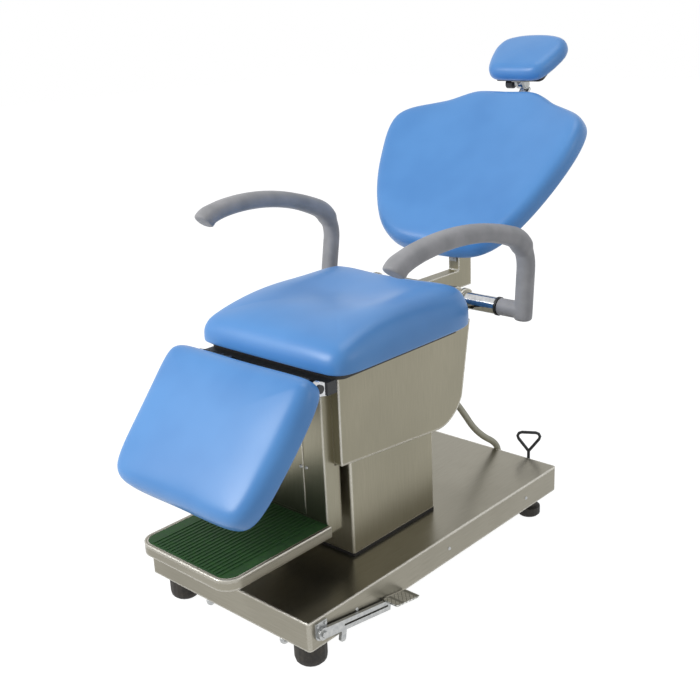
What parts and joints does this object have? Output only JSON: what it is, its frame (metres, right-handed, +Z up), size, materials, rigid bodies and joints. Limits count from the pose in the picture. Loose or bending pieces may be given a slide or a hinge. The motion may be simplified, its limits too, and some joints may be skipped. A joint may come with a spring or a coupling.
{
  "type": "reclining examination and treatment chair",
  "caption": "Electric reclining examination chair with lifting column, padded seat, back, leg rest and headrest, flip-up arms, footrest and foot pedal on a flat base.",
  "frame": {"origin": "centre of the bounding box's floor rectangle, on the floor", "axes": "+Z up, -Y the way the sitter faces, +X to the sitter's left"},
  "size_m": [0.7034, 1.4574, 1.3033],
  "materials": {
    "stainless": "brushed",
    "chrome": "polished",
    "zinc": "satin",
    "black_rubber": "matt",
    "green_rubber": "ribbed",
    "blue_vinyl": "soft sheen",
    "plywood": "sealed",
    "painted_frame": "satin",
    "arm_foam": "satin",
    "black_plastic": "satin",
    "grey_plastic": "satin",
    "white_plastic": "satin"
  },
  "bodies": {
    "base": {"base_cover": "stainless", "base_frame": "painted_frame", "base_screws": "zinc", "front_feet": "black_rubber", "rear_feet": "black_rubber", "foot_washers": "zinc", "transport_balls": "zinc", "column_gasket": "black_rubber", "lower_cover": "stainless", "lift_outer_tube": "painted_frame", "glide_pads": "white_plastic", "flange_bolts": "zinc", "lift_motor": "black_plastic", "control_box": "black_plastic", "rear_junction": "black_plastic", "loop_bracket": "zinc", "pedal_pivot": "zinc", "pedal_bolts": "zinc", "conduit": "grey_plastic"},
    "lift": {"lift_inner_tube": "zinc", "upper_cover": "stainless", "panel_screws": "zinc", "upper_gland": "black_plastic", "carrier_panel": "stainless", "front_plate": "stainless", "footrest_tray": "stainless", "footrest_mat": "green_rubber", "footrest_brackets": "zinc", "seat_frame": "painted_frame", "seat_board": "plywood", "seat_cushion": "blue_vinyl", "cross_tube": "chrome", "tube_saddles": "stainless", "arm_collars": "black_plastic", "arm_pins": "zinc", "leg_brackets": "chrome", "leg_shaft": "painted_frame", "back_drive_housing": "black_plastic", "leg_drive_housing": "black_plastic"},
    "back": {"back_carrier": "stainless", "back_bolts": "zinc", "back_board": "plywood", "back_cushion": "blue_vinyl", "headrest_guide": "zinc", "headrest_clamp": "black_plastic"},
    "head_slide": {"headrest_bar": "chrome"},
    "headrest": {"headrest_fork": "zinc", "headrest_knob": "black_plastic", "headrest_board": "plywood", "headrest_cushion": "blue_vinyl"},
    "leg": {"leg_frame": "painted_frame", "leg_board": "plywood", "leg_cushion": "blue_vinyl"},
    "arm_left": {"armrest_left": "arm_foam"},
    "arm_right": {"armrest_right": "arm_foam"},
    "back_drive": {"back_drive_rod": "zinc"},
    "leg_drive": {"leg_drive_rod": "zinc"},
    "pedal": {"pedal_lever": "painted_frame", "pedal_pad": "stainless"},
    "loop": {"pull_loop": "painted_frame"}
  },
  "joints": [
    {"name": "lift_slide", "type": "slide", "parent": "base", "child": "lift", "axis": [0, 0, 1], "range_m": [-0.075, 0.08], "deforming": ["conduit"]},
    {"name": "back_recline", "type": "hinge", "parent": "lift", "child": "back", "pos_m": [0, 0.1399, 0.67], "axis": [-1, 0, 0], "range_deg": [-30, 44]},
    {"name": "leg_raise", "type": "hinge", "parent": "lift", "child": "leg", "pos_m": [0, -0.4521, 0.618], "axis": [-1, 0, 0], "range_deg": [-40, 47]},
    {"name": "arm_left_flip", "type": "hinge", "parent": "lift", "child": "arm_left", "pos_m": [0.327, 0.1399, 0.67], "axis": [-1, 0, 0], "range_deg": [0, 75]},
    {"name": "arm_right_flip", "type": "hinge", "parent": "lift", "child": "arm_right", "pos_m": [-0.327, 0.1399, 0.67], "axis": [-1, 0, 0], "range_deg": [0, 71]},
    {"name": "headrest_height", "type": "slide", "parent": "back", "child": "head_slide", "axis": [0, 0.6947, 0.7193], "range_m": [-0.005, 0.08]},
    {"name": "headrest_tilt", "type": "hinge", "parent": "head_slide", "child": "headrest", "pos_m": [0, 0.62853, 1.16569], "axis": [-1, 0, 0], "range_deg": [-20, 25]},
    {"name": "back_drive_slide", "type": "slide", "parent": "lift", "child": "back_drive", "axis": [0, 1, 0], "range_m": [-0.0527, 0.0359]},
    {"name": "leg_drive_slide", "type": "slide", "parent": "lift", "child": "leg_drive", "axis": [0, 1, 0], "range_m": [-0.0427, 0.0364]},
    {"name": "pedal_press", "type": "hinge", "parent": "base", "child": "pedal", "pos_m": [0.283, -0.5681, 0.106], "axis": [-1, 0, 0], "range_deg": [0, 6]},
    {"name": "loop_swing", "type": "hinge", "parent": "base", "child": "loop", "pos_m": [0.17, 0.4199, 0.112], "axis": [0.866, 0.5, 0], "range_deg": [-12, 12]}
  ],
  "couplings": [
    {"joint": "back_drive_slide", "follows": "back_recline", "m_per_rad": -0.0685},
    {"joint": "leg_drive_slide", "follows": "leg_raise", "m_per_rad": -0.052}
  ]
}
